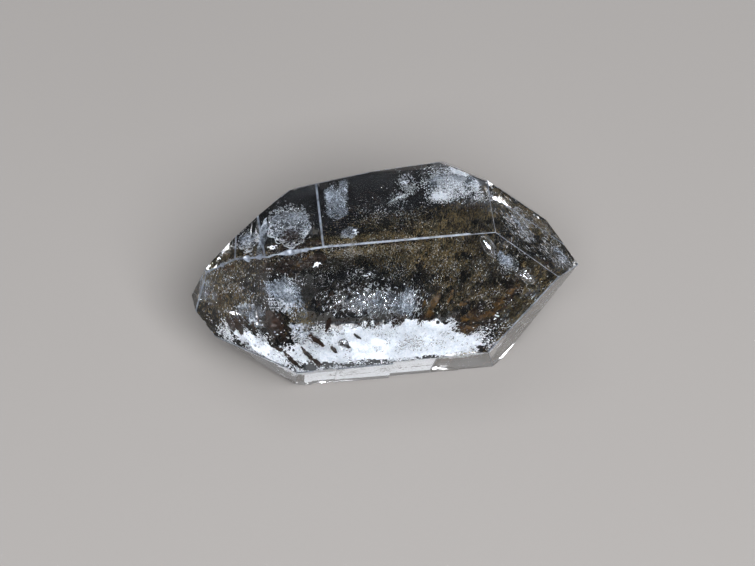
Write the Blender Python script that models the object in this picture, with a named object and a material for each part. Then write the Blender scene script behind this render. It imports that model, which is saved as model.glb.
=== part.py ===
"""Petroleum quartz: one loose, doubly terminated quartz crystal, 22 mm from tip to tip.

The crystal lies along +X on one of its prism faces, with its right tip at +X. It is the space that its
natural faces leave: each face is a plane, given as a mineralogist gives it, by where it stands round
the long (c) axis, how far it leans towards a tip, and how far it is from the centre. The edges are then
worn to narrow flats, and the growth steps, the striations, the pits and the chips are cut into it.

The largest drops of petroleum are bodies of their own, each in its pocket. The quartz round them is
parted in two on a plane through the pockets, because a closed solid can't hold a hollow.
Lengths are in millimetres until the finished meshes are scaled to metres.
"""

import math
import random
from collections import namedtuple

import bpy
import bmesh
from mathutils import Matrix, Vector, noise

MM = 0.001

# The angle between the c axis of quartz and the plane of a rhombohedral end face is 38.2 degrees. The
# prism faces stand every 60 degrees round the axis and lean by a few degrees where the crystal tapers.
END_LEAN = 38.0

# Azimuth: degrees round the c axis, 0 for the top face, growing towards the front (-Y). Lean: degrees
# by which the face's normal leans towards the right tip. Distance: mm from the crystal's centre.
Face = namedtuple("Face", "azimuth lean distance")
FACES = {
    "prism_top": Face(0, -2.5, 5.10),
    "prism_front": Face(60, -2.0, 4.00),
    "prism_low_front": Face(122.0, 0.8, 5.055),
    "prism_base": Face(180, 0.0, 5.50),
    "prism_low_back": Face(240, 1.0, 5.70),
    "prism_back": Face(299.5, -4.0, 5.80),
    "taper_back": Face(299.5, -9.0, 5.75),
    "right_top": Face(359.5, END_LEAN - 3.0, 7.90),
    "right_low_front": Face(116, END_LEAN + 1.5, 7.35),
    "right_low_back": Face(235.5, END_LEAN + 7.5, 6.10),
    "right_back": Face(297, END_LEAN - 5.0, 7.05),
    "left_shoulder": Face(0, -5.5, 5.26),
    "left_band": Face(0, -17.5, 6.30),
    "left_top": Face(1, -32.5, 7.40),
    "left_top_tip": Face(359, -END_LEAN - 6.0, 8.25),
    "left_front": Face(61.5, -END_LEAN - 0.5, 6.95),
    "left_low_front": Face(122.5, -END_LEAN + 6.0, 7.20),
    "left_base": Face(180, -END_LEAN - 1.0, 7.15),
    "left_low_back": Face(240, -END_LEAN, 7.40),
    "left_back": Face(299, -END_LEAN + 1.0, 6.95),
    "left_back_tip": Face(297.5, -END_LEAN - 7.0, 7.75),
    "left_tip": Face(27, -68.5, 9.85),
    "left_tip_low": Face(75, -66.0, 9.95),
}

BLOCK = 30.0
EDGE_WEAR = 0.11
STEP_REACH = 14.0
STEP_PROUD = 1.0

# Growth steps that run along an edge between two faces: the face that is stepped, the face at whose
# edge the step starts, how far the step lies from that edge, and how much lower the rest of the face is.
Step = namedtuple("Step", "face along offset depth")
EDGE_STEPS = (
    Step("right_low_front", "prism_front", 0.45, 0.05),
    Step("right_low_front", "prism_front", 0.95, 0.06),
    Step("right_low_front", "prism_front", 1.30, 0.05),
    Step("right_low_front", "prism_front", 1.95, 0.06),
    Step("right_top", "prism_top", 2.60, 0.05),
    Step("right_top", "right_back", 1.10, 0.04),
    Step("left_top", "left_band", 0.95, 0.04),
    Step("left_low_front", "left_front", 0.30, 0.05),
    Step("right_back", "prism_back", 1.60, 0.05),
    Step("right_low_back", "prism_low_back", 1.20, 0.05),
    Step("right_low_back", "prism_low_back", 2.60, 0.06),
    Step("right_low_back", "prism_low_back", 3.70, 0.05),
    Step("left_back", "taper_back", 1.40, 0.05),
    Step("left_back", "taper_back", 2.90, 0.05),
    Step("left_low_back", "prism_low_back", 0.70, 0.05),
)

# Growth steps straight across a prism face. The places are mm along the crystal from its middle, from
# which the face lies lower up to the second place.
CrossStep = namedtuple("CrossStep", "face start end depth")
CROSS_STEPS = (
    CrossStep("prism_low_front", 0.05, 9.0, 0.12),
    CrossStep("prism_low_front", 4.10, 9.0, 0.16),
    CrossStep("prism_low_front", -4.40, -3.10, 0.05),
    CrossStep("prism_top", 4.95, 9.0, 0.035),
    CrossStep("left_shoulder", -9.0, -4.95, 0.03),
    CrossStep("prism_low_back", 2.90, 9.0, 0.04),
    CrossStep("prism_low_back", -9.0, -3.60, 0.03),
    CrossStep("taper_back", -9.0, -3.70, 0.04),
)

# Striations: the fine stairs that cross a prism face, as on every quartz prism.
STRIATED = {
    "prism_back": (-0.6, 3.6),
}
STRIATION_PITCH = 0.62
STRIATION_DEPTH = 0.045

# Triangular pits on the end faces: place along and across the face, and size, all in mm.
Pit = namedtuple("Pit", "face along across size")
PITS = (
    Pit("right_top", 1.3, 1.2, 0.42),
    Pit("right_top", 2.2, 1.7, 0.30),
    Pit("right_top", 3.0, -1.1, 0.26),
    Pit("right_top", 4.4, 0.1, 0.24),
    Pit("right_back", 1.1, 0.3, 0.40),
    Pit("right_back", 2.1, -0.6, 0.30),
    Pit("left_back", -1.4, 0.5, 0.45),
    Pit("left_back", -2.5, -0.4, 0.34),
    Pit("left_back", -3.3, 0.9, 0.28),
    Pit("left_base", -2.0, 0.6, 0.42),
    Pit("left_base", -3.4, -0.5, 0.32),
    Pit("right_low_back", 1.6, 0.6, 0.46),
    Pit("right_low_back", 3.0, -0.9, 0.34),
    Pit("left_front", -6.4, -0.6, 0.30),
    Pit("left_front", -4.6, 1.1, 0.34),
    Pit("left_top", -4.0, -0.9, 0.24),
)
PIT_DEPTH = 0.16

# Larger bruises, each beside an edge between two faces: how far along the edge, from 0 at its left end
# to 1 at its right end, and the size of the bite in mm.
Bruise = namedtuple("Bruise", "one other place size")
BRUISES = (
    Bruise("right_low_front", "right_low_back", 0.74, 0.34),
    Bruise("right_low_front", "right_low_back", 0.97, 0.30),
    Bruise("right_low_front", "right_low_back", 0.33, 0.22),
    Bruise("right_top", "right_back", 0.16, 0.26),
    Bruise("right_top", "right_low_back", 0.55, 0.22),
    Bruise("prism_top", "right_back", 0.72, 0.24),
    Bruise("prism_top", "prism_back", 0.45, 0.24),
    Bruise("prism_low_front", "prism_base", 0.52, 0.26),
    Bruise("prism_low_front", "prism_base", 0.20, 0.20),
    Bruise("left_front", "left_base", 0.45, 0.36),
    Bruise("left_front", "left_base", 0.80, 0.28),
    Bruise("left_top", "left_front", 0.40, 0.34),
    Bruise("left_top", "left_front", 0.78, 0.28),
    Bruise("left_top_tip", "left_front", 0.55, 0.30),
    Bruise("prism_front", "left_shoulder", 0.30, 0.40),
    Bruise("prism_front", "left_shoulder", 0.62, 0.30),
    Bruise("left_low_front", "left_base", 0.62, 0.22),
    Bruise("prism_base", "right_low_back", 0.50, 0.34),
    Bruise("prism_base", "prism_low_back", 0.30, 0.30),
    Bruise("prism_low_back", "prism_back", 0.66, 0.34),
    Bruise("left_back", "left_low_back", 0.50, 0.34),
    Bruise("taper_back", "left_back", 0.40, 0.28),
)
SMALL_CHIPS = 80
SMALL_CHIP_SIZE = (0.07, 0.15)
FINE_CHIP = 0.25
CHIP_SEED = 9

# The plane that parts the quartz is parallel to a face, at a distance from the crystal's centre. The two
# bodies, and each drop and its pocket, are a hair apart, so that they don't cut into each other.
PARTING_FACE = "prism_front"
PARTING_DISTANCE = 2.10
PARTING_GAP = 0.05
POCKET_GAP = 0.05

# The drops lie across the parting plane: the place of their middle along and across it, their size in
# mm, and the angle of their long side to the crystal's length.
Drop = namedtuple("Drop", "along across length width thickness turn")
DROPS = {
    "petroleum_right": Drop(5.35, -1.50, 2.95, 1.25, 0.60, 30),
    "petroleum_tip": Drop(7.60, 0.50, 2.00, 0.75, 0.45, 33),
    "petroleum_tongue": Drop(2.65, -0.60, 1.90, 0.65, 0.35, 60),
    "petroleum_flake": Drop(-4.00, -2.30, 1.30, 0.45, 0.25, -35),
    "petroleum_left": Drop(-5.90, -1.45, 1.75, 0.80, 0.45, -76),
    "petroleum_top_left": Drop(-4.30, 2.25, 2.40, 0.70, 0.40, 17),
}
DROP_SUBDIVISIONS = 3
DROP_LUMP = 1.7
DROP_RELIEF = 0.34


def face_normal(name):
    """The face's outward direction."""
    azimuth = math.radians(FACES[name].azimuth)
    lean = math.radians(FACES[name].lean)
    return Vector((
        math.sin(lean),
        -math.cos(lean) * math.sin(azimuth),
        math.cos(lean) * math.cos(azimuth),
    ))


def face_axes(name):
    """The foot of the face's normal, the direction along the crystal, and the one across the face."""
    normal = face_normal(name)
    along = (Vector((1, 0, 0)) - normal.x * normal).normalized()
    return normal * FACES[name].distance, along, normal.cross(along)


def clip(body, normal, distance):
    """Cuts off what lies beyond a plane, and closes the cut with one flat face."""
    cut = bmesh.ops.bisect_plane(
        body,
        geom=body.verts[:] + body.edges[:] + body.faces[:],
        dist=1e-5,
        plane_co=normal * distance,
        plane_no=normal,
        clear_outer=True,
    )
    rim = [item for item in cut["geom_cut"] if isinstance(item, bmesh.types.BMEdge)]
    if rim:
        bmesh.ops.contextual_create(body, geom=rim)


def grow_crystal():
    """The convex crystal: a block that each natural face cuts."""
    body = bmesh.new()
    bmesh.ops.create_cube(body, size=BLOCK)
    for name in FACES:
        clip(body, face_normal(name), FACES[name].distance)
    bmesh.ops.recalc_face_normals(body, faces=body.faces[:])
    return body


def edge_between(body, one, other):
    """The ends, left first, of the edge where two faces of the convex crystal meet."""
    normals = (face_normal(one), face_normal(other))
    for edge in body.edges:
        sides = [face.normal for face in edge.link_faces]
        if all(any(side.dot(normal) > 0.99999 for side in sides) for normal in normals):
            return sorted((vert.co.copy() for vert in edge.verts), key=lambda point: point.x)
    raise ValueError(f"{one} and {other} don't meet")


def wear_edges(body, width):
    """Turns each edge into a narrow flat, as handling and transport leave it."""
    flats = []
    for edge in body.edges:
        one, other = (face.normal for face in edge.link_faces)
        middle = (edge.verts[0].co + edge.verts[1].co) / 2
        normal = (one + other).normalized()
        depth = width / 2 * math.tan(one.angle(other) / 2)
        flats.append((normal, normal.dot(middle) - depth))
    for normal, distance in flats:
        clip(body, normal, distance)


def add_object(name, body):
    """Puts a bmesh in the scene as an object."""
    mesh = bpy.data.meshes.new(name)
    body.to_mesh(mesh)
    body.free()
    thing = bpy.data.objects.new(name, mesh)
    bpy.context.scene.collection.objects.link(thing)
    return thing


def prism(outline, axis_direction, length):
    """A closed prism on a flat outline, extruded along a direction."""
    body = bmesh.new()
    bottom = body.faces.new([body.verts.new(point) for point in outline])
    raised = bmesh.ops.extrude_face_region(body, geom=[bottom])
    tops = [item for item in raised["geom"] if isinstance(item, bmesh.types.BMVert)]
    bmesh.ops.translate(body, verts=tops, vec=axis_direction * length)
    bmesh.ops.recalc_face_normals(body, faces=body.faces[:])
    return body


def slab_on_face(name, corners, depth):
    """A cutter that lowers a face by a depth inside an outline given along and across the face."""
    foot, along, across = face_axes(name)
    normal = face_normal(name)
    outline = [foot + along * u + across * v - normal * depth for u, v in corners]
    return prism(outline, normal, depth + STEP_PROUD)


def edge_step_cutter(convex, step):
    """The cutter for a growth step that runs along an edge."""
    left, right = edge_between(convex, step.face, step.along)
    normal = face_normal(step.face)
    run = (right - left).normalized()
    inward = normal.cross(run)
    centre = sum((vert.co for vert in convex.verts), Vector()) / len(convex.verts)
    if inward.dot(centre - left) < 0:
        inward = -inward
    middle = (left + right) / 2 - normal * step.depth
    near = middle + inward * step.offset
    far = middle + inward * STEP_REACH
    outline = [near - run * STEP_REACH, near + run * STEP_REACH, far + run * STEP_REACH, far - run * STEP_REACH]
    return prism(outline, normal, step.depth + STEP_PROUD * step.depth)


def cross_step_cutter(step):
    """The cutter for a growth step straight across a prism face."""
    corners = [
        (step.start, -STEP_REACH),
        (step.end, -STEP_REACH),
        (step.end, STEP_REACH),
        (step.start, STEP_REACH),
    ]
    return slab_on_face(step.face, corners, step.depth)


def pit_cutter(pit):
    """A three-sided pyramid, point down, whose sides give a triangular pit."""
    foot, along, across = face_axes(pit.face)
    normal = face_normal(pit.face)
    centre = foot + along * pit.along + across * pit.across
    body = bmesh.new()
    rim = []
    for corner in range(3):
        angle = math.radians(120 * corner)
        reach = along * math.cos(angle) + across * math.sin(angle)
        rim.append(body.verts.new(centre + normal * pit.size * 0.3 + reach * pit.size * 1.1))
    bottom = body.verts.new(centre - normal * PIT_DEPTH * pit.size)
    body.faces.new(rim)
    for first, second in zip(rim, rim[1:] + rim[:1]):
        body.faces.new((first, second, bottom))
    bmesh.ops.recalc_face_normals(body, faces=body.faces[:])
    return body


def chip_cutter(place, size, dice):
    """A small, uneven, many-sided lump that bites a shell-shaped chip."""
    body = bmesh.new()
    bmesh.ops.create_icosphere(body, subdivisions=2 if size > FINE_CHIP else 1, radius=size)
    for vert in body.verts:
        vert.co *= dice.uniform(0.82, 1.12)
    turn = Matrix.Rotation(dice.uniform(0, math.tau), 4, Vector((dice.random(), dice.random(), 1.0)))
    stretch = Matrix.Diagonal((dice.uniform(0.9, 1.5), dice.uniform(0.8, 1.1), dice.uniform(0.8, 1.1), 1.0))
    body.transform(Matrix.Translation(place) @ turn @ stretch)
    return body


def chip_on_edge(ends, sides, place, size, dice):
    """A chip beside an edge, most of it outside the crystal."""
    outward = sum(sides, Vector()).normalized()
    point = ends[0].lerp(ends[1], place) + outward * size * dice.uniform(0.55, 0.7)
    return chip_cutter(point, size, dice)


def striation_cutters(name, start, end):
    """Every second stair of a striated prism face."""
    place = start
    while place < end:
        step = CrossStep(name, place, place + STRIATION_PITCH / 2, STRIATION_DEPTH)
        yield cross_step_cutter(step)
        place += STRIATION_PITCH


def drop_body(drop, gap=0.0):
    """A flattened, lumpy drop, made larger all round by a gap where it is to cut its pocket."""
    normal = face_normal(PARTING_FACE)
    _, along, across = face_axes(PARTING_FACE)
    middle = normal * PARTING_DISTANCE + along * drop.along + across * drop.across
    angle = math.radians(drop.turn)
    long_side = along * math.cos(angle) + across * math.sin(angle)
    body = bmesh.new()
    bmesh.ops.create_icosphere(body, subdivisions=DROP_SUBDIVISIONS, radius=1.0)
    for vert in body.verts:
        lump = noise.noise(vert.co * DROP_LUMP + Vector((drop.along, drop.across, 0)) * 3)
        vert.co *= 1 + DROP_RELIEF * lump
    body.transform(Matrix.Diagonal((drop.length / 2, drop.width / 2, drop.thickness / 2, 1.0)))
    body.normal_update()
    for vert in body.verts:
        vert.co += vert.normal * gap
    turn = Matrix((long_side, normal.cross(long_side), normal)).transposed().to_4x4()
    body.transform(Matrix.Translation(middle) @ turn)
    return body


def part_in_two(crystal):
    """The quartz in front of the parting plane and the quartz behind it, each cut off flat."""
    normal = face_normal(PARTING_FACE)
    parts = []
    for name, side in (("quartz_front", -1), ("quartz_back", 1)):
        body = bmesh.new()
        body.from_mesh(crystal.data)
        clip(body, normal * side, side * PARTING_DISTANCE - PARTING_GAP / 2)
        parts.append(add_object(name, body))
    bpy.data.objects.remove(crystal)
    return parts


def carve(thing, cutters, name):
    """Cuts a set of cutters out of a solid."""
    group = bpy.data.collections.new(name)
    bpy.context.scene.collection.children.link(group)
    tools = []
    for number, body in enumerate(cutters):
        tool = add_object(f"{name}_{number:03d}", body)
        bpy.context.scene.collection.objects.unlink(tool)
        group.objects.link(tool)
        tool.hide_render = True
        tool.display_type = "WIRE"
        tools.append(tool)
    cut = thing.modifiers.new(name, "BOOLEAN")
    cut.operation = "DIFFERENCE"
    cut.operand_type = "COLLECTION"
    cut.collection = group
    cut.solver = "EXACT"
    bpy.context.view_layer.update()
    depsgraph = bpy.context.evaluated_depsgraph_get()
    mesh = bpy.data.meshes.new_from_object(thing.evaluated_get(depsgraph))
    thing.modifiers.remove(cut)
    thing.data = mesh
    for tool in tools:
        bpy.data.objects.remove(tool)
    bpy.data.collections.remove(group)
    print(f"{name}: {len(tools)} cutters, {len(mesh.polygons)} faces")


def base_middle(crystal):
    """The middle of the bottom of the crystal's bounding box."""
    points = [vert.co for vert in crystal.data.vertices]
    low = [min(point[axis] for point in points) for axis in range(3)]
    high = [max(point[axis] for point in points) for axis in range(3)]
    return Vector(((low[0] + high[0]) / 2, (low[1] + high[1]) / 2, low[2]))


def tidy(thing, origin):
    """Closes hairline gaps, turns every face to triangles, and scales to metres about the origin."""
    body = bmesh.new()
    body.from_mesh(thing.data)
    bmesh.ops.remove_doubles(body, verts=body.verts[:], dist=0.002)
    bmesh.ops.dissolve_degenerate(body, dist=0.001, edges=body.edges[:])
    bmesh.ops.triangulate(body, faces=body.faces[:])
    bmesh.ops.recalc_face_normals(body, faces=body.faces[:])
    body.transform(Matrix.Scale(MM, 4) @ Matrix.Translation(-origin))
    open_edges = sum(1 for edge in body.edges if len(edge.link_faces) != 2)
    print(f"{thing.name}: {len(body.faces)} triangles, {open_edges} open edges")
    body.to_mesh(thing.data)
    body.free()


def finish(name, colour, roughness, ior, transmission):
    """A plain Principled finish."""
    material = bpy.data.materials.new(name)
    material.use_nodes = True
    shader = material.node_tree.nodes["Principled BSDF"]
    shader.inputs["Base Color"].default_value = (*colour, 1.0)
    shader.inputs["Roughness"].default_value = roughness
    shader.inputs["Metallic"].default_value = 0.0
    shader.inputs["IOR"].default_value = ior
    shader.inputs["Transmission Weight"].default_value = transmission
    return material


def main():
    for old in list(bpy.data.objects):
        bpy.data.objects.remove(old)
    dice = random.Random(CHIP_SEED)
    convex = grow_crystal()
    steps = [edge_step_cutter(convex, step) for step in EDGE_STEPS]
    steps += [cross_step_cutter(step) for step in CROSS_STEPS]
    for name, (start, end) in STRIATED.items():
        steps += list(striation_cutters(name, start, end))
    pits = [pit_cutter(pit) for pit in PITS]
    chips = []
    for bruise in BRUISES:
        ends = edge_between(convex, bruise.one, bruise.other)
        sides = (face_normal(bruise.one), face_normal(bruise.other))
        chips.append(chip_on_edge(ends, sides, bruise.place, bruise.size, dice))
    long_edges = [edge for edge in convex.edges if edge.calc_length() > 1.0]
    for _ in range(SMALL_CHIPS):
        edge = dice.choice(long_edges)
        ends = [vert.co.copy() for vert in edge.verts]
        sides = [face.normal.copy() for face in edge.link_faces]
        size = dice.uniform(*SMALL_CHIP_SIZE)
        chips.append(chip_on_edge(ends, sides, dice.uniform(0.05, 0.95), size, dice))
    wear_edges(convex, EDGE_WEAR)
    crystal = add_object("crystal", convex)
    carve(crystal, steps, "growth_steps")
    carve(crystal, pits, "pits")
    carve(crystal, chips, "chips")
    origin = base_middle(crystal)
    print("the origin lies at", [round(c, 3) for c in origin], "mm from the crystal's centre")
    clear_quartz = finish("clear_quartz", (0.86, 0.84, 0.78), 0.03, 1.544, 1.0)
    petroleum = finish("petroleum", (0.11, 0.05, 0.02), 0.25, 1.48, 0.1)
    for quartz in part_in_two(crystal):
        carve(quartz, [drop_body(drop, POCKET_GAP) for drop in DROPS.values()], "pockets")
        quartz.data.materials.append(clear_quartz)
        tidy(quartz, origin)
    for name, drop in DROPS.items():
        body = add_object(name, drop_body(drop))
        body.data.materials.append(petroleum)
        tidy(body, origin)


main()
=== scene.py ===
# %% [markdown]
# A petroleum quartz crystal
#
# The real object is a loose quartz crystal, 22 mm long and pointed at both ends. It grew round drops of
# natural petroleum, so flakes of bitumen, brown oily films, gas bubbles and silvery healed cracks are
# sealed in the clear mineral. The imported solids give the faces, ledges and chips, and the largest drops.
# This lesson gives the crystal its clear body, its worn edges and everything that is sealed inside, and
# then lights it.

# %% Load the frame
import math
import random
from collections import namedtuple

import bmesh
import bpy
import numpy as np
from mathutils import Matrix, Vector, noise
from mathutils.bvhtree import BVHTree


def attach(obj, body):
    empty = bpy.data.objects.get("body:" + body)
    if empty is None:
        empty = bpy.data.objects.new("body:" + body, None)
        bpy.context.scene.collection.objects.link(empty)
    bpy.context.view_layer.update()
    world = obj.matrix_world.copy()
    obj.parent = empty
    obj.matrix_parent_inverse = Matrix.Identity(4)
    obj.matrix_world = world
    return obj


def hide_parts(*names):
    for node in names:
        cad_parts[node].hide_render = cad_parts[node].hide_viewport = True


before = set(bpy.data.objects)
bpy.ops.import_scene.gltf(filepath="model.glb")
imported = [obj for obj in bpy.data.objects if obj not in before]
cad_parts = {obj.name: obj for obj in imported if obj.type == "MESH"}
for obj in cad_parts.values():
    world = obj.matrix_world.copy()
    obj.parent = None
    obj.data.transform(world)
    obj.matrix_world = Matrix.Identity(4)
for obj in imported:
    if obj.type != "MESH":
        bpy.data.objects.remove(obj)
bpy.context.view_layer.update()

HALVES = ("quartz_front", "quartz_back")

# %% [markdown]
# Lengths of a small mineral are easiest to read in millimetres, and Blender's own unit is the metre, so
# the crystal's lengths are numbers of millimetres times MM. The floor and the lights are large and are
# given in metres. Colours are read as the sRGB hex values that a colour picker shows, and Cycles wants
# them linear, so one function turns them.

# %% Units, colours, nodes and objects
MM = 0.001
QUARTZ_IOR = 1.544


def linear(hex_colour):
    """The linear RGBA of an sRGB hex colour such as #8A6A3C."""
    channels = [int(hex_colour[i:i + 2], 16) / 255 for i in (1, 3, 5)]
    return tuple(c / 12.92 if c <= 0.04045 else ((c + 0.055) / 1.055) ** 2.4 for c in channels) + (1.0,)


def add_node(tree, kind, settings=None, links=None, stops=()):
    """Adds a node. Settings are its own properties or the values of its sockets; links go to its inputs.

    Stops are for a node with a colour ramp: places from 0 to 1, each with a hex colour.
    """
    node = tree.nodes.new(kind)
    for name, value in (settings or {}).items():
        if name in node.inputs:
            node.inputs[name].default_value = value
        else:
            setattr(node, name, value)
    for name, socket in (links or {}).items():
        tree.links.new(socket, node.inputs[name])
    for number, (position, colour) in enumerate(stops):
        node.color_ramp.elements[number].position = position
        node.color_ramp.elements[number].color = linear(colour)
    return node


def new_material(name):
    """An empty node material, and its tree."""
    material = bpy.data.materials.new(name)
    material.use_nodes = True
    material.node_tree.nodes.clear()
    print("finish:", name)
    return material, material.node_tree


def add_object(name, data):
    """An object in the scene, made from a mesh, a camera or a light."""
    thing = bpy.data.objects.new(name, data)
    bpy.context.scene.collection.objects.link(thing)
    return thing


# %% [markdown]
# The camera comes first, because the marks inside the crystal are placed where the photograph shows
# them. A 150 mm lens two hands' breadths away looks down at 48 degrees, from a little to the left of the
# crystal's front. The crystal's middle is given in the frame of the solids, whose origin lies in the face
# that the crystal rests on.

# %% The camera
PHOTO_WIDTH, PHOTO_HEIGHT = 755, 566
LENS, SENSOR = 150.0, 36.0
CRYSTAL_MIDDLE = Vector((-0.045, -0.725, 5.500)) * MM
CAMERA_AZIMUTH = math.radians(-5.49)
CAMERA_ELEVATION = math.radians(47.85)
CAMERA_DISTANCE = 178.0 * MM
AIM_RIGHT, AIM_UP = -0.26 * MM, -0.10 * MM

backward = Vector((
    math.sin(CAMERA_AZIMUTH) * math.cos(CAMERA_ELEVATION),
    -math.cos(CAMERA_AZIMUTH) * math.cos(CAMERA_ELEVATION),
    math.sin(CAMERA_ELEVATION),
))
rightward = Vector((math.cos(CAMERA_AZIMUTH), math.sin(CAMERA_AZIMUTH), 0.0))
upward = backward.cross(rightward)

camera_data = bpy.data.cameras.new("camera")
camera_data.lens = LENS
camera_data.sensor_width = SENSOR
camera_data.clip_start = 10 * MM
camera = add_object("camera", camera_data)
eye = CRYSTAL_MIDDLE + rightward * AIM_RIGHT + upward * AIM_UP + backward * CAMERA_DISTANCE
turn = Matrix((rightward, upward, backward)).transposed().to_4x4()
camera.matrix_world = Matrix.Translation(eye) @ turn
bpy.context.scene.camera = camera
print("the camera stands at", [round(c / MM, 1) for c in eye], "mm")

# %% [markdown]
# The solid quartz comes as two bodies, parted flat so that the drops could lie in pockets between them.
# The visible crystal is one piece, as the real one is: the faces on the parting are deleted, the loose
# pockets go with them, and the two open rims are bridged. The bridge lies in the planes of the faces on
# both sides of it, so no line shows.

# %% The crystal in one piece
PARTING_AZIMUTH = math.radians(60.0)
PARTING_LEAN = math.radians(-2.0)
PARTING_DISTANCE = 2.10 * MM
PARTING_GAP = 0.05 * MM
ON_PLANE = 0.003 * MM
SAME_POINT = 0.00001 * MM


def parting_height(point):
    """How far a point lies in front of the parting plane."""
    normal = Vector((
        math.sin(PARTING_LEAN),
        -math.cos(PARTING_LEAN) * math.sin(PARTING_AZIMUTH),
        math.cos(PARTING_LEAN) * math.cos(PARTING_AZIMUTH),
    ))
    return (point - CRYSTAL_MIDDLE).dot(normal) - PARTING_DISTANCE


def islands(body):
    """The groups of joined vertices of a mesh, smallest first."""
    waiting = set(body.verts)
    found = []
    while waiting:
        first = waiting.pop()
        group, open_verts = [first], [first]
        while open_verts:
            for edge in open_verts.pop().link_edges:
                for vert in edge.verts:
                    if vert in waiting:
                        waiting.discard(vert)
                        group.append(vert)
                        open_verts.append(vert)
        found.append(group)
    return sorted(found, key=len)


def open_edges(body):
    """How many edges of a mesh don't have a face on each side."""
    return sum(1 for edge in body.edges if len(edge.link_faces) != 2)


def whole_crystal():
    """The outer surface of the quartz, closed and in one piece."""
    body = bmesh.new()
    for name in HALVES:
        body.from_mesh(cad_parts[name].data)
    bmesh.ops.remove_doubles(body, verts=body.verts[:], dist=SAME_POINT)
    inner = [
        face for face in body.faces
        if all(abs(abs(parting_height(v.co)) - PARTING_GAP / 2) < ON_PLANE for v in face.verts)
    ]
    bmesh.ops.delete(body, geom=inner, context="FACES")
    for pocket in islands(body)[:-len(HALVES)]:
        bmesh.ops.delete(body, geom=pocket, context="VERTS")
    rims = [edge for edge in body.edges if edge.is_boundary]
    bmesh.ops.bridge_loops(body, edges=rims)
    bmesh.ops.recalc_face_normals(body, faces=body.faces[:])
    print("whole crystal:", len(body.faces), "faces,", len(rims), "rim edges,", open_edges(body), "open")
    return body


crystal_body = whole_crystal()

# %% [markdown]
# A mark under a face isn't where a straight line from the camera would put it, because quartz bends
# light. So a mark's place is found as light finds it: a ray leaves the camera through the photograph's
# pixel, meets the crystal, bends by Snell's law, and the mark lies some way along the bent ray. Blender's
# BVHTree answers where a ray meets a mesh.

# %% From a pixel of the photograph to a place in the crystal
crystal_tree = BVHTree.FromBMesh(crystal_body)
FOCAL_PIXELS = LENS / SENSOR * PHOTO_WIDTH


def bend(ray, normal, ratio):
    """Snell's law: the direction of a ray after a surface. Ratio is the first IOR over the second."""
    along = -ray.dot(normal)
    across = 1 - ratio * ratio * (1 - along * along)
    return (ray * ratio + normal * (ratio * along - math.sqrt(max(across, 0.0)))).normalized()


def seen_ray(x, y):
    """Where the camera ray through a photograph pixel enters the crystal, and its way on inside."""
    ray = (
        rightward * (x - PHOTO_WIDTH / 2) / FOCAL_PIXELS
        - upward * (y - PHOTO_HEIGHT / 2) / FOCAL_PIXELS
        - backward
    ).normalized()
    place, normal, _, _ = crystal_tree.ray_cast(eye, ray)
    if place is None:
        raise ValueError(f"the crystal isn't at pixel {x}, {y}")
    return place, bend(ray, normal, 1 / QUARTZ_IOR)


def depth_of(point):
    """How far a point lies below the crystal's surface, in mm; below zero outside it."""
    surface, normal, _, distance = crystal_tree.find_nearest(point)
    return math.copysign(distance, (surface - point).dot(normal)) / MM


MIDDLE_PIXEL = (400, 270)
place, way = seen_ray(*MIDDLE_PIXEL)
print("the middle ray enters at", [round(c / MM, 2) for c in place], "mm")
print("3 mm further in it is", round(depth_of(place + way * 3 * MM), 2), "mm from the nearest face")

# %% [markdown]
# Quartz itself is the first material: clear, colourless to faintly smoky, with natural crystal faces.
# Growth leaves them bright but not optically flat, so a faint bump of growth hillocks lets the light
# waver. The body colour comes from plain volume absorption, as in the real mineral: it shows only where
# the light has a long way to go.
#
# Worn quartz is the same mineral where handling has ground it: the narrow flats along its edges and the
# facets of its chips. The ground skin scatters light, so it looks pale, and palest where it is ground
# deepest. Its real grain is too fine to see, so it is drawn about ten times as coarse.

# %% Clear quartz and worn quartz
HILLOCK_SIZE = 1.4 * MM
HILLOCK_HEIGHT = 0.004 * MM
GRAIN_SIZE = 0.09 * MM
GRAIN_HEIGHT = 0.01 * MM
WEAR_SIZE = 0.5 * MM
SHALLOW_WEAR, DEEP_WEAR = "#2C3037", "#8D939C"
SMOKE = "#C9C6C0"
SMOKE_DENSITY = 45.0


def quartz_body(tree, shader):
    """Puts the faintly smoky body of quartz under its surface."""
    smoke = add_node(tree, "ShaderNodeVolumeAbsorption", {"Color": linear(SMOKE), "Density": SMOKE_DENSITY})
    add_node(
        tree, "ShaderNodeOutputMaterial",
        links={"Surface": shader.outputs["BSDF"], "Volume": smoke.outputs["Volume"]},
    )


def clear_quartz():
    """Natural crystal faces over clear, faintly smoky quartz."""
    material, tree = new_material("clear_quartz")
    place = add_node(tree, "ShaderNodeTexCoord")
    hillocks = add_node(
        tree, "ShaderNodeTexNoise",
        {"Scale": 1 / HILLOCK_SIZE, "Detail": 2.0, "Roughness": 0.45},
        {"Vector": place.outputs["Object"]},
    )
    relief = add_node(
        tree, "ShaderNodeBump",
        {"Strength": 1.0, "Distance": HILLOCK_HEIGHT},
        {"Height": hillocks.outputs["Fac"]},
    )
    shader = add_node(
        tree, "ShaderNodeBsdfPrincipled",
        {"Base Color": (1, 1, 1, 1), "Roughness": 0.01, "IOR": QUARTZ_IOR, "Transmission Weight": 1.0},
        {"Normal": relief.outputs["Normal"]},
    )
    quartz_body(tree, shader)
    return material


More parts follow.
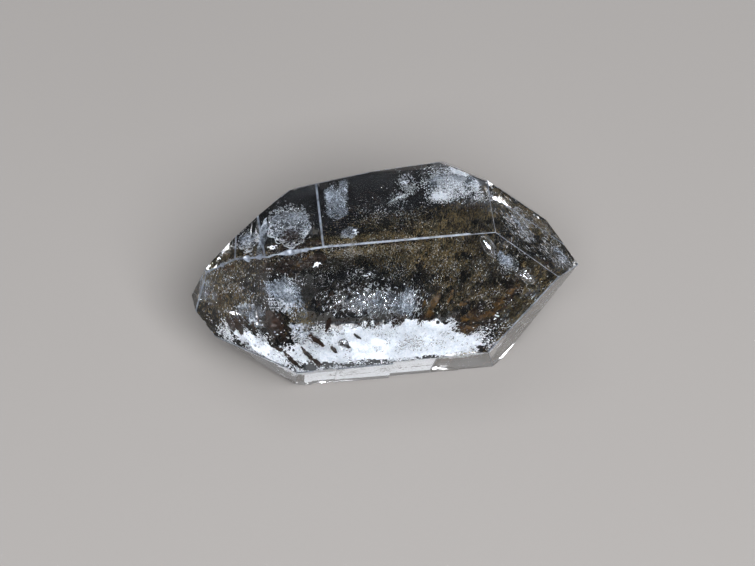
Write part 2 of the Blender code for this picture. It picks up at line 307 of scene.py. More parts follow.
def worn_quartz():
    """The ground skin on worn edges and in chips."""
    material, tree = new_material("worn_quartz")
    place = add_node(tree, "ShaderNodeTexCoord")
    grain = add_node(
        tree, "ShaderNodeTexNoise",
        {"Scale": 1 / GRAIN_SIZE, "Detail": 3.0},
        {"Vector": place.outputs["Object"]},
    )
    wear = add_node(
        tree, "ShaderNodeTexNoise",
        {"Scale": 1 / WEAR_SIZE, "Detail": 4.0, "Roughness": 0.7},
        {"Vector": place.outputs["Object"]},
    )
    colour = add_node(
        tree, "ShaderNodeValToRGB",
        links={"Fac": wear.outputs["Fac"]},
        stops=((0.35, SHALLOW_WEAR), (0.68, DEEP_WEAR)),
    )
    relief = add_node(
        tree, "ShaderNodeBump",
        {"Strength": 0.5, "Distance": GRAIN_HEIGHT},
        {"Height": grain.outputs["Fac"]},
    )
    shader = add_node(
        tree, "ShaderNodeBsdfPrincipled",
        {"Roughness": 0.35, "IOR": QUARTZ_IOR, "Transmission Weight": 0.45},
        {"Normal": relief.outputs["Normal"], "Base Color": colour.outputs["Color"]},
    )
    quartz_body(tree, shader)
    return material


# %% [markdown]
# The worn finish could be painted along the edges by hand, but the mesh already tells them apart. Faces
# that touch and lie in one plane are gathered into regions, and a narrow region is an edge flat or a chip
# facet. An edge that a growth step sharpened has no flat yet, so a narrow bevel gives it one. One edge,
# between the large front face and the left end, stayed fresh.

# %% Natural and worn faces
WORN_WIDTH = 0.15 * MM
SHARP_ANGLE = math.radians(24)
SHARP_BEVEL = 0.028 * MM
SHORTEST_BEVEL = 0.3 * MM
FRESH_EDGE = Vector((-0.342, -0.820, 0.459))
# How near to 1 the dot product of two normals has to be
SAME_PLANE = 0.99999
SAME_WAY = 0.999


def flat_regions(body):
    """Groups the faces of a mesh that touch and lie in one plane."""
    waiting = set(body.faces)
    for first in body.faces:
        if first not in waiting:
            continue
        waiting.discard(first)
        region, open_faces = [first], [first]
        while open_faces:
            for edge in open_faces.pop().edges:
                for face in edge.link_faces:
                    if face in waiting and face.normal.dot(first.normal) > SAME_PLANE:
                        waiting.discard(face)
                        region.append(face)
                        open_faces.append(face)
        yield region


def region_width(region):
    """The width of a long flat region: twice its area over its outline."""
    inside = set(region)
    outline = sum(
        edge.calc_length()
        for face in region
        for edge in face.edges
        if any(other not in inside for other in edge.link_faces)
    )
    return 2 * sum(face.calc_area() for face in region) / max(outline, 1e-9)


def bevel_sharp_edges(body):
    """Gives the sharp edges between two wide, natural faces a narrow worn flat."""
    wide = {face for region in flat_regions(body) if region_width(region) > 2 * WORN_WIDTH for face in region}
    sharp = [
        edge for edge in body.edges
        if all(face in wide for face in edge.link_faces)
        and edge.is_convex
        and edge.calc_face_angle() > SHARP_ANGLE
        and edge.calc_length() > SHORTEST_BEVEL
    ]
    bmesh.ops.bevel(body, geom=sharp, offset=SHARP_BEVEL, segments=1, affect="EDGES", clamp_overlap=True)
    print(len(sharp), "sharp edges bevelled,", open_edges(body), "open edges")


def crystal_piece(body):
    """The visible crystal, with its natural faces and its worn edges told apart."""
    bevel_sharp_edges(body)
    worn = 0
    for region in flat_regions(body):
        fresh = region[0].normal.dot(FRESH_EDGE) > SAME_WAY
        if region_width(region) < WORN_WIDTH and not fresh:
            worn += 1
            for face in region:
                face.material_index = 1
    for face in body.faces:
        face.smooth = False
    mesh = bpy.data.meshes.new("crystal")
    mesh.materials.append(clear_quartz())
    mesh.materials.append(worn_quartz())
    body.to_mesh(mesh)
    body.free()
    piece = add_object("crystal", mesh)
    print("crystal:", len(mesh.polygons), "faces,", worn, "worn flats")
    return piece


crystal = crystal_piece(crystal_body)
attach(crystal, "root")
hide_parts(*HALVES)

# %% [markdown]
# Everything sealed inside is small, and there are thousands of pieces. Instances or particles would be
# light to keep, but an exported model loses them, so each kind is one joined mesh: a small template is
# copied to every place by a matrix, and numpy does it in one step. A bubble's faces point inwards. Light
# then goes from quartz to gas at them, as it does in the real one, and the quartz value of the IOR stays
# right.

# %% Joining many small shapes in one mesh
dice = random.Random(38)


def grain_shape():
    """A six-sided grain: two three-sided pyramids, base to base."""
    vertices = [(1.15, 0, 0), (-0.58, 1.0, 0), (-0.58, -1.0, 0), (0, 0, 1), (0, 0, -1)]
    faces = [(0, 1, 3), (1, 2, 3), (2, 0, 3), (1, 0, 4), (2, 1, 4), (0, 2, 4)]
    return np.array(vertices, float), np.array(faces)


def ball_shape(subdivisions):
    """A round ball; 3 subdivisions give 320 faces, and each more gives four times as many."""
    body = bmesh.new()
    bmesh.ops.create_icosphere(body, subdivisions=subdivisions, radius=1.0)
    body.verts.index_update()
    vertices = np.array([vert.co for vert in body.verts])
    faces = np.array([[vert.index for vert in face.verts] for face in body.faces])
    body.free()
    return vertices, faces


def curl_shape(sweep, thickness, segments=9, tip=0.35):
    """A bent, four-sided fibre: an arc of radius 1 in the XY plane, closed and thin at both ends."""
    vertices, faces = [], []
    for step in range(segments + 1):
        angle = math.radians(sweep) * (step / segments - 0.5)
        taper = thickness * (tip + (1 - tip) * math.sin(math.pi * (step + 0.5) / (segments + 1)))
        for corner in range(4):
            out = taper * math.cos(math.tau * corner / 4)
            rise = taper * math.sin(math.tau * corner / 4)
            vertices.append((math.cos(angle) * (1 + out), math.sin(angle) * (1 + out), rise))
    for step in range(segments):
        for corner in range(4):
            here, after = step * 4 + corner, step * 4 + (corner + 1) % 4
            faces.append((here, after, after + 4, here + 4))
    faces.append((3, 2, 1, 0))
    faces.append(tuple(segments * 4 + corner for corner in range(4)))
    return np.array(vertices), np.array(faces)


def joined(name, shape, matrices, material, inward=False, smooth=False):
    """One piece made of copies of a template, one for each matrix."""
    vertices, faces = shape
    turned = faces[:, ::-1] if inward else faces
    frames = np.array([np.array(matrix) for matrix in matrices])
    points = np.einsum("kij,vj->kvi", frames[:, :3, :3], vertices) + frames[:, None, :3, 3]
    corners = turned[None] + (np.arange(len(frames)) * len(vertices))[:, None, None]
    mesh = bpy.data.meshes.new(name)
    mesh.from_pydata(points.reshape(-1, 3), [], corners.reshape(-1, faces.shape[1]))
    mesh.polygons.foreach_set("use_smooth", [smooth] * len(mesh.polygons))
    mesh.materials.append(material)
    piece = add_object(name, mesh)
    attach(piece, "root")
    print(f"{name}: {len(matrices)} shapes, {len(mesh.polygons)} faces")
    return piece


def random_turn():
    """A rotation in any direction."""
    axis = Vector((dice.gauss(0, 1), dice.gauss(0, 1), dice.gauss(0, 1))).normalized()
    return Matrix.Rotation(dice.uniform(0, math.tau), 4, axis)


def picture_frame(way, angle):
    """Axes across a bent ray: the first at an angle in the picture, the third back along the ray."""
    first = (rightward - way * rightward.dot(way)).normalized()
    first.rotate(Matrix.Rotation(math.radians(angle), 3, -way))
    return Matrix((first, (-way).cross(first), -way)).transposed()


# %% [markdown]
# Petroleum comes in several states here. Thin films are translucent, golden to olive brown, and the olive
# ones are the golden colour made darker, partly painted shade. The smoky films are near-black sheets of
# painted shade, which darken the crystal where it shows shade. Where a film is thicker it is amber, and thick
# flakes and drops of bitumen are nearly black, with a resin's gloss. True transmission would be slow through
# so many layers, so a plain alpha lets a share of the light through a film. Its IOR is below petroleum's own
# 1.5, because a film mirrors less under quartz than in air. Each finish has a noise in its colour, at the
# size of the real patches, so that no two grains look alike.

# %% Petroleum and bitumen
PATCH_SIZE = 0.35 * MM
FILM_IOR = 1.25


def petroleum(name, dark, light, alpha):
    """A brown, oily skin that lets some light through."""
    material, tree = new_material(name)
    place = add_node(tree, "ShaderNodeTexCoord")
    patches = add_node(
        tree, "ShaderNodeTexNoise",
        {"Scale": 1 / PATCH_SIZE, "Detail": 5.0, "Roughness": 0.75},
        {"Vector": place.outputs["Object"]},
    )
    colour = add_node(
        tree, "ShaderNodeValToRGB",
        links={"Fac": patches.outputs["Fac"]},
        stops=((0.38, dark), (0.66, light)),
    )
    shader = add_node(
        tree, "ShaderNodeBsdfPrincipled",
        {"Roughness": 0.35, "IOR": FILM_IOR, "Alpha": alpha},
        {"Base Color": colour.outputs["Color"]},
    )
    add_node(tree, "ShaderNodeOutputMaterial", links={"Surface": shader.outputs["BSDF"]})
    return material


golden_petroleum = petroleum("golden_petroleum", "#1E190D", "#6A5833", 0.55)
# Olive: the golden colours made darker, real olive brown with painted shade.
olive_petroleum = petroleum("olive_petroleum", "#0E0C06", "#2E2818", 0.55)
# Painted shade: near-black films that darken the crystal where it shows shade.
smoky_petroleum = petroleum("smoky_petroleum", "#07080B", "#14171C", 0.45)
petroleum_grains = petroleum("petroleum_grains", "#1D180A", "#86724A", 1.0)
# Olive grains: real olive brown with painted shade, like the olive films.
olive_grains_with_painted_shade = petroleum("olive_grains_with_painted_shade", "#0B0904", "#332B19", 1.0)
amber_petroleum = petroleum("amber_petroleum", "#150C04", "#5C4015", 0.92)
bitumen = petroleum("bitumen", "#0A0604", "#331D0D", 1.0)

# %% [markdown]
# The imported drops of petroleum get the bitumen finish. Two modifiers give them the lumpy skin of a
# thick liquid that set: one rounds the facets, and one pushes the surface in and out by a cloudy noise.

# %% The large drops
DROP_LUMPS = 0.10 * MM
LUMP_SIZE = 0.28 * MM

drop_clouds = bpy.data.textures.new("drop_clouds", "CLOUDS")
drop_clouds.noise_scale = LUMP_SIZE
for name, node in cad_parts.items():
    if name.startswith("petroleum"):
        node.data.materials[0] = bitumen
        rounding = node.modifiers.new("rounding", "SUBSURF")
        rounding.levels = rounding.render_levels = 1
        lumps = node.modifiers.new("lumps", "DISPLACE")
        lumps.texture = drop_clouds
        lumps.strength = DROP_LUMPS
        print(name, "gets the bitumen finish")

# %% [markdown]
# A film of petroleum, or a crack that healed over a thin layer of gas, is a wavy sheet with a ragged,
# lacy outline. Such a sheet can be grown from a fine grid: a fractal noise, lower towards the rim, says
# which of the grid's cells are there, and a second noise bends the sheet out of its plane. Solidify then
# gives it the thickness of a real film, so that it is a closed shape.

# %% Sheets with ragged outlines
SKIN_MARGIN = 0.12  # mm
GAS_FILM, FILM, THICK_FILM, FLAKE = 0.010 * MM, 0.012 * MM, 0.02 * MM, 0.03 * MM
FEWEST_CELLS = 4
RIM_SOFTNESS = 1.6
RIM_SMOOTHINGS = 2
# How fast the octaves of a fractal noise fade, the step from one to the next, and how many it has
LOBE_NOISE = (0.8, 2.1, 5)
WAVE_NOISE = (1.0, 2.2, 3)
WAVE_LENGTH = 0.9  # mm
NOISE_SHIFT_X, NOISE_SHIFT_Y = 0.37, 0.53

Sheet = namedtuple("Sheet", "x y depth long tall spin tilt cover patch cell wave", defaults=(0.15,))


def sheet_cells(sheet):
    """The points and the cells of one sheet, which starts at a place of its own in the noise."""
    place, way = seen_ray(sheet.x, sheet.y)
    middle_point = place + way * sheet.depth * MM
    axes = picture_frame(way, sheet.spin) @ Matrix.Rotation(math.radians(sheet.tilt), 3, "X")
    columns = max(FEWEST_CELLS, round(sheet.long / sheet.cell))
    rows = max(FEWEST_CELLS, round(sheet.tall / sheet.cell))
    here = Vector((sheet.x * NOISE_SHIFT_X, sheet.y * NOISE_SHIFT_Y, sheet.depth))
    points, kept = [], []
    for row in range(rows + 1):
        for column in range(columns + 1):
            u = (column / columns - 0.5) * 2
            v = (row / rows - 0.5) * 2
            flat = Vector((u * sheet.long, v * sheet.tall, 0.0)) / 2
            lobes = noise.fractal(flat / sheet.patch + here, *LOBE_NOISE)
            bend_out = noise.fractal(flat / WAVE_LENGTH - here, *WAVE_NOISE) * sheet.wave
            point = middle_point + axes @ Vector((flat.x, flat.y, bend_out)) * MM
            points.append(point)
            kept.append(
                lobes + RIM_SOFTNESS * (sheet.cover - math.hypot(u, v) ** 2) > 0
                and lobes > -sheet.cover
                and depth_of(point) > SKIN_MARGIN
            )
    cells = []
    for row in range(rows):
        for column in range(columns):
            first = row * (columns + 1) + column
            corners = (first, first + 1, first + columns + 2, first + columns + 1)
            if all(kept[corner] for corner in corners):
                cells.append(corners)
    return points, cells


def sheet_piece(name, sheets, material, thickness):
    """One piece made of the sheets of a table."""
    points, cells = [], []
    for row in sheets:
        more_points, more_cells = sheet_cells(Sheet(*row))
        start = len(points)
        points += more_points
        cells += [tuple(start + corner for corner in cell) for cell in more_cells]
    body = bmesh.new()
    verts = [body.verts.new(point) for point in points]
    for cell in cells:
        body.faces.new([verts[corner] for corner in cell])
    bmesh.ops.delete(body, geom=[vert for vert in body.verts if not vert.link_faces], context="VERTS")
    rims = [vert for vert in body.verts if vert.is_boundary]
    for _ in range(RIM_SMOOTHINGS):
        bmesh.ops.smooth_vert(body, verts=rims, factor=0.5, use_axis_x=True, use_axis_y=True, use_axis_z=True)
    mesh = bpy.data.meshes.new(name)
    body.to_mesh(mesh)
    body.free()
    mesh.polygons.foreach_set("use_smooth", [True] * len(mesh.polygons))
    mesh.materials.append(material)
    piece = add_object(name, mesh)
    skin = piece.modifiers.new("thickness", "SOLIDIFY")
    skin.thickness = thickness
    skin.offset = 0.0
    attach(piece, "root")
    print(f"{name}: {len(sheets)} sheets, {len(mesh.polygons)} cells")
    return piece


# %% [markdown]
# Each row of a table is one sheet: the pixel of the photograph that it lies behind; its depth behind the
# face, its long side and its tall side, in mm; the angle of its long side in the picture, and how far it
# turns away from the camera about that side, in degrees; the share of it that is there; and the sizes of
# its lobes and of its cells, in mm. A note stands where the rows come to another part of the crystal.
#
# Amber films are the thick, brown ones near the surface. The smoky films are painted shade: they lie deep
# and darken the whole crystal behind the top and front faces and along the lower front, so their cells may
# be coarse.

# %% Amber films, and films of painted shade
AMBER_FILMS = (
    (470, 327, 0.30, 1.9, 0.75, 28, 12, 0.75, 0.22, 0.04),  # the brown cluster, and towards the right tip
    (479, 318, 0.34, 1.7, 0.6, 24, -12, 0.7, 0.2, 0.04),
    (466, 318, 0.38, 1.0, 0.5, 40, 12, 0.8, 0.25, 0.04),
    (492, 312, 0.34, 1.5, 0.55, 36, 12, 0.7, 0.2, 0.04),
    (500, 302, 0.36, 1.5, 0.5, 30, -12, 0.65, 0.18, 0.04),
    (464, 303, 0.45, 1.1, 0.45, 30, 12, 0.6, 0.18, 0.04),
    (512, 290, 0.40, 1.6, 0.5, 32, 12, 0.55, 0.16, 0.04),
    (434, 303, 0.35, 1.7, 0.45, 64, 12, 0.85, 0.25, 0.04),  # the tongue
    (428, 316, 0.32, 0.8, 0.35, 45, 12, 0.8, 0.25, 0.04),
    (424, 306, 0.40, 1.0, 0.3, 75, -12, 0.7, 0.2, 0.04),
    (450, 298, 0.45, 1.3, 0.35, 70, 12, 0.6, 0.18, 0.04),
    (220, 300, 0.40, 1.6, 0.4, 80, 12, 0.6, 0.18, 0.04),  # the left end
    (228, 268, 0.40, 1.4, 0.5, 20, 12, 0.55, 0.18, 0.04),
    (300, 262, 0.60, 1.7, 0.5, 35, 12, 0.6, 0.18, 0.04),  # under the long edge
)
# Painted shade: dark sheets placed where the crystal shows shade.
PAINTED_SHADE_FILMS = (
    (378, 203, 3.4, 7.2, 4.2, 5, 10, 1.6, 0.8, 0.121),  # behind the top face
    (392, 206, 4.0, 6.4, 3.6, 8, -10, 1.4, 0.7, 0.121),
    (372, 200, 4.7, 7.6, 4.0, 3, 10, 1.5, 0.9, 0.121),
    (410, 205, 2.6, 2.8, 3.4, 80, 20, 1.1, 0.4, 0.095),
    (332, 214, 3.6, 2.4, 2.4, 80, 10, 1.2, 0.5, 0.108),
    (294, 196, 2.2, 3.0, 1.8, 30, 10, 1.3, 0.6, 0.095),  # behind the left shoulder
    (290, 228, 1.5, 2.6, 2.2, 0, 10, 1.3, 0.5, 0.081),
    (292, 212, 2.8, 3.4, 3.0, 20, -10, 1.4, 0.6, 0.108),
    (372, 276, 4.5, 6.6, 2.8, 3, 20, 1.3, 0.6, 0.121),  # behind the front face
    (380, 272, 3.2, 6.0, 2.2, 3, -20, 1.1, 0.4, 0.108),
    (320, 285, 3.6, 3.2, 3.0, 80, 10, 1.2, 0.5, 0.108),
    (355, 300, 3.4, 5.2, 2.2, 3, 20, 1.1, 0.4, 0.095),
    (415, 300, 3.0, 2.4, 2.2, 80, 20, 1.2, 0.4, 0.095),
    (252, 286, 1.6, 1.3, 1.3, 80, 10, 1.0, 0.5, 0.068),  # the left end
    (260, 290, 2.6, 3.6, 2.2, 85, 10, 1.3, 0.5, 0.095),
    (448, 305, 2.6, 3.4, 2.6, 60, 10, 1.3, 0.4, 0.095),  # behind the tongue and the milky patch
    (448, 190, 2.6, 3.4, 2.6, 10, 10, 1.3, 0.5, 0.108),
    (345, 375, 0.35, 4.2, 0.35, 5, 5, 0.5, 0.2, 0.05),  # the strip along the lower front
    (412, 367, 0.35, 3.4, 0.45, 5, 5, 0.45, 0.2, 0.05),
    (455, 362, 0.40, 2.4, 0.6, 5, 5, 0.6, 0.25, 0.05),
)
sheet_piece("amber_petroleum_films", AMBER_FILMS, amber_petroleum, THICK_FILM)
# The films of painted shade.
sheet_piece("smoky_petroleum_films", PAINTED_SHADE_FILMS, smoky_petroleum, FILM)

# %% [markdown]
# Golden films catch the key light, and olive ones lie mostly behind them, where little light comes. The
# olive colour is the golden one made darker: real olive brown, with painted shade for where little light
# comes.

# %% Golden and olive films
GOLDEN_FILMS = (
    (232, 285, 1.9, 4.2, 3.0, 82, 30, 0.80, 0.20, 0.06),  # the left end
    (224, 300, 1.1, 3.0, 1.6, 80, -30, 0.7, 0.16, 0.054),
    (250, 300, 2.4, 3.0, 2.4, 85, 35, 0.75, 0.22, 0.06),
    (238, 262, 1.4, 2.8, 1.0, 8, 20, 0.8, 0.16, 0.054),
    (372, 252, 2.2, 12.0, 1.0, 4, 25, 0.75, 0.22, 0.06),  # under the long edge
    (440, 250, 2.6, 5.0, 2.4, 5, -25, 0.7, 0.2, 0.06),
    (456, 278, 2.2, 4.6, 2.8, 70, 30, 0.7, 0.22, 0.06),
    (536, 236, 1.3, 5.0, 2.0, -40, 20, 0.75, 0.18, 0.06),  # the right end's upper face
    (505, 200, 1.5, 3.2, 1.2, -45, 20, 0.75, 0.18, 0.06),
    (294, 318, 2.0, 1.8, 1.2, 80, 20, 0.9, 0.5, 0.06),
    (520, 320, 0.9, 3.6, 0.9, 45, 20, 0.8, 0.15, 0.054),  # the right end's lower face
    (474, 323, 0.55, 2.3, 1.0, 28, 12, 0.7, 0.18, 0.054),  # the brown cluster and the tongue
    (492, 308, 0.6, 2.4, 1.1, 32, -12, 0.6, 0.18, 0.054),
    (432, 304, 0.45, 1.9, 0.7, 60, 12, 0.8, 0.2, 0.054),
    (527, 264, 0.5, 0.8, 0.5, 20, 12, 0.8, 0.2, 0.048),
    (452, 300, 0.7, 1.8, 1.2, 55, 12, 0.5, 0.16, 0.054),
)
# Olive films: real olive brown, painted darker as shade where little light comes.
OLIVE_FILMS_WITH_PAINTED_SHADE = (
    (345, 262, 3.2, 8.0, 1.8, 5, 25, 0.85, 0.28, 0.072),  # under the long edge
    (430, 268, 3.4, 7.0, 3.0, 5, -20, 0.8, 0.25, 0.072),
    (462, 222, 2.6, 3.8, 2.4, 8, 25, 0.95, 0.25, 0.06),  # behind the top face
    (445, 226, 4.0, 5.0, 1.6, 5, -20, 0.9, 0.25, 0.072),
    (478, 262, 2.0, 4.6, 3.2, 75, 30, 0.8, 0.2, 0.06),  # towards the right tip
    (515, 280, 1.9, 3.8, 2.4, 32, 30, 0.8, 0.2, 0.06),
    (530, 262, 1.2, 3.0, 1.6, -30, 20, 0.8, 0.2, 0.06),
    (385, 222, 3.6, 5.0, 1.6, 5, 15, 0.7, 0.25, 0.072),
    (300, 262, 2.6, 2.8, 1.4, 20, 20, 0.9, 0.3, 0.06),
    (545, 232, 2.0, 4.6, 1.8, -42, -20, 0.7, 0.2, 0.06),
    (250, 262, 2.2, 2.6, 1.4, 10, 20, 0.8, 0.22, 0.06),  # the left end
    (436, 304, 1.2, 2.0, 0.8, 62, 20, 0.9, 0.3, 0.06),  # round the tongue
    (446, 300, 1.8, 2.6, 1.8, 62, -20, 0.9, 0.22, 0.06),
    (458, 310, 2.0, 2.4, 1.8, 50, 10, 0.9, 0.25, 0.06),
    (290, 310, 2.6, 2.2, 1.6, 70, 20, 0.9, 0.4, 0.06),
)
sheet_piece("golden_petroleum_films", GOLDEN_FILMS, golden_petroleum, FILM)
sheet_piece("olive_petroleum_films", OLIVE_FILMS_WITH_PAINTED_SHADE, olive_petroleum, FILM)

# %% [markdown]
# Bitumen is petroleum that lost its lighter parts and dried to black, brittle flakes. They are the same
# kind of sheet, but thicker, and they let no light through.

# %% Flakes of bitumen
BITUMEN_FLAKES = (
    (275, 324, 0.4, 2.0, 0.8, -65, 10, 0.8, 0.25, 0.04),  # left of the white zone
    (231, 324, 0.22, 1.1, 0.45, -62, 10, 0.95, 0.3, 0.04),
    (239, 327, 0.25, 1.2, 0.5, -68, 10, 0.95, 0.3, 0.04),
    (254, 330, 0.22, 0.9, 0.28, -85, 10, 0.95, 0.3, 0.04),
    (468, 328, 0.45, 1.5, 0.6, 28, 10, 0.7, 0.2, 0.04),  # the brown cluster, and towards the right tip
    (486, 317, 0.5, 1.6, 0.5, 30, -15, 0.6, 0.18, 0.04),
    (503, 303, 1.3, 1.6, 0.8, 25, 15, 0.65, 0.16, 0.04),
    (520, 285, 1.5, 2.6, 0.9, 35, 15, 0.65, 0.16, 0.04),
    (537, 268, 1.0, 1.6, 0.7, -20, 10, 0.7, 0.18, 0.04),
    (303, 264, 1.6, 2.2, 0.8, 28, 20, 0.7, 0.2, 0.04),  # under the long edge
    (292, 262, 1.3, 1.4, 0.6, 45, 20, 0.7, 0.2, 0.04),
    (316, 340, 0.3, 1.3, 0.35, -40, 10, 0.95, 0.3, 0.04),  # slanted flakes in the white zone
    (334, 350, 0.22, 0.7, 0.28, -50, 10, 1.0, 0.3, 0.04),
    (358, 337, 0.22, 0.7, 0.24, -35, 10, 1.0, 0.3, 0.04),
    (344, 345, 0.25, 1.0, 0.35, -15, 10, 0.75, 0.2, 0.04),
    (328, 325, 1.3, 1.3, 0.4, 75, 10, 0.8, 0.2, 0.04),
    (292, 360, 0.22, 1.5, 0.3, -45, 10, 0.9, 0.3, 0.04),  # slanted flakes along its lower edge
    (310, 357, 0.22, 1.8, 0.35, -48, 10, 0.9, 0.3, 0.04),
    (318, 364, 0.2, 1.4, 0.35, -40, 10, 0.9, 0.3, 0.04),
    (281, 350, 0.2, 1.0, 0.3, -30, 10, 0.9, 0.3, 0.04),
)
sheet_piece("bitumen_flakes", BITUMEN_FLAKES, bitumen, FLAKE)

# %% [markdown]
# A crack that healed over a film of gas has finely pitted walls. They scatter light, so the film looks
# milky and bluish, and white where there are many pits. A thinner film only veils what is behind it. The
# pits are a noise that mixes a dull and a bright colour and dents the surface, drawn coarser than the real
# ones, which are too fine to see.

# %% Films of gas
PIT_DEPTH = 0.03 * MM


def healed_crack(name, dull, bright, alpha, pit_size):
    """The pitted wall of a gas film in quartz: milky, bluish white."""
    material, tree = new_material(name)
    place = add_node(tree, "ShaderNodeTexCoord")
    pits = add_node(
        tree, "ShaderNodeTexNoise",
        {"Scale": 1 / (pit_size * MM), "Detail": 5.0, "Roughness": 0.7},
        {"Vector": place.outputs["Object"]},
    )
    colour = add_node(
        tree, "ShaderNodeValToRGB",
        links={"Fac": pits.outputs["Fac"]},
        stops=((0.40, dull), (0.60, bright)),
    )
    relief = add_node(
        tree, "ShaderNodeBump", {"Strength": 0.8, "Distance": PIT_DEPTH}, {"Height": pits.outputs["Fac"]},
    )
    shader = add_node(
        tree, "ShaderNodeBsdfPrincipled",
        {"Roughness": 0.3, "IOR": QUARTZ_IOR, "Alpha": alpha},
        {"Base Color": colour.outputs["Color"], "Normal": relief.outputs["Normal"]},
    )
    add_node(tree, "ShaderNodeOutputMaterial", links={"Surface": shader.outputs["BSDF"]})
    return material


# A milky and a bright film differ in how dull their pits are, and the bright one gives a painted glint and
# sheen. A white one lets nothing through, and its white is partly painted reflection; a thin one has broad,
# faint patches.
milky_gas = healed_crack("milky_gas", "#48535F", "#F4F9FF", 0.75, 0.13)
# Painted glint and sheen: the bright finish of the white specks and the curls.
gas_with_painted_glint = healed_crack("gas_with_painted_glint", "#B4BCC6", "#FFFFFF", 0.9, 0.13)
# Partly painted reflection: the white finish of the veils where the crystal mirrors light.
white_gas_with_painted_reflection = healed_crack("white_gas_with_painted_reflection", "#DDE3EA", "#FFFFFF", 1.0, 0.13)
thin_gas = healed_crack("thin_gas", "#4A525C", "#98A4B2", 0.24, 0.6)

# %% [markdown]
# Healed cracks follow no crystal face. The milky ones are ragged patches near the surface. The white veils
# fill the broad white zone low in front and the milky patch on the top face, and there their white is
# partly painted reflection, standing in for the light that the crystal mirrors. A veil is too dense for
# sheets alone, so grains of the same finish are added to it further on.

# %% Milky cracks and white veils
MILKY_CRACKS = (
    (285, 295, 0.9, 2.4, 1.6, -60, 25, 0.5, 0.2, 0.045),  # the milky patch at the left
    (293, 305, 1.2, 1.8, 1.5, 30, 25, 0.4, 0.16, 0.045),
    (280, 285, 1.4, 1.6, 1.2, 10, 25, 0.4, 0.16, 0.045),
    (263, 230, 0.45, 2.6, 0.42, 85, 10, 0.9, 0.16, 0.04),  # the left shoulder
    (521, 227, 0.8, 2.2, 0.9, -60, 20, 0.5, 0.15, 0.04),  # the right end
    (507, 262, 1.0, 1.5, 0.9, -45, 20, 0.5, 0.16, 0.04),
    (330, 195, 1.2, 1.4, 0.9, 80, 20, 0.4, 0.2, 0.045),  # the pale band on the top face
    (343, 196, 1.4, 2.0, 0.8, 85, 20, 0.45, 0.2, 0.045),
    (247, 241, 0.6, 1.2, 1.0, 0, 20, 0.45, 0.14, 0.04),
    (408, 304, 1.1, 1.8, 1.3, 80, 20, 0.45, 0.16, 0.045),  # round the row of bubbles
    (375, 302, 1.4, 3.8, 1.5, 3, 20, 0.35, 0.14, 0.045),
    (398, 198, 0.9, 1.8, 0.3, 28, 20, 0.6, 0.12, 0.04),  # flecks on the top face
    (405, 182, 0.8, 0.9, 0.8, 28, 20, 0.4, 0.10, 0.035),
    (355, 232, 0.8, 0.7, 0.6, 28, 20, 0.4, 0.12, 0.04),
    (246, 306, 0.9, 2.0, 0.5, 8, 20, 0.6, 0.15, 0.04),  # the lower left
    (255, 322, 1.0, 1.8, 0.9, -20, 20, 0.5, 0.15, 0.04),
    (300, 330, 1.2, 2.0, 1.4, -30, 20, 0.5, 0.18, 0.045),
)
# White veils: partly healed cracks, partly painted reflection in the white zone and milky patch, and glints.
WHITE_VEILS_WITH_PAINTED_REFLECTION = (
    (450, 184, 1.0, 3.0, 2.2, 5, 20, 0.45, 0.16, 0.045),  # the milky patch on the top face
    (455, 178, 1.4, 3.2, 1.6, 15, -20, 0.4, 0.14, 0.045),
    (440, 196, 0.7, 1.4, 0.8, 10, 10, 0.6, 0.16, 0.04),
    (273, 247, 0.35, 1.1, 0.45, 5, 10, 0.45, 0.10, 0.03),  # glints
    (317, 265, 0.5, 0.9, 0.5, 15, 20, 0.4, 0.10, 0.03),
    (367, 275, 0.5, 0.7, 0.4, 5, 20, 0.45, 0.10, 0.03),
    (497, 316, 0.7, 0.8, 0.6, 60, 20, 0.4, 0.10, 0.03),
    (518, 330, 0.3, 0.5, 0.25, 45, 10, 0.9, 0.2, 0.04),
    (500, 345, 0.3, 0.5, 0.25, 45, 10, 0.9, 0.2, 0.04),
    (262, 348, 0.5, 3.8, 1.0, -30, 10, 0.85, 0.22, 0.05),  # the lower left
    (240, 335, 0.4, 2.0, 0.8, -40, 10, 0.7, 0.2, 0.05),
    # The white zone: its white is painted reflection of the light that the base mirrors.
    (396, 336, 0.7, 8.4, 2.0, 3, 6, 0.95, 0.35, 0.06),  # the white zone
    (398, 351, 0.75, 8.8, 0.9, 3, 6, 1.1, 0.3, 0.06),
    (345, 354, 0.9, 5.0, 1.0, 3, -6, 0.9, 0.25, 0.06),
    (452, 340, 0.8, 3.2, 1.7, 6, -6, 0.9, 0.2, 0.05),
    (315, 352, 2.2, 4.0, 1.6, 3, 6, 0.8, 0.2, 0.05),
    (462, 345, 1.4, 2.6, 1.2, 10, 6, 0.8, 0.2, 0.05),
)
sheet_piece("healed_cracks", MILKY_CRACKS, milky_gas, GAS_FILM)
sheet_piece("white_veils_with_painted_reflection", WHITE_VEILS_WITH_PAINTED_REFLECTION, white_gas_with_painted_reflection, GAS_FILM)

# %% [markdown]
# Where a film of gas is very thin it only pales what is behind it. Large sheets with a low alpha give that
# haze round the milky patches. Their last number, where there is one, is how far they wave, in mm.

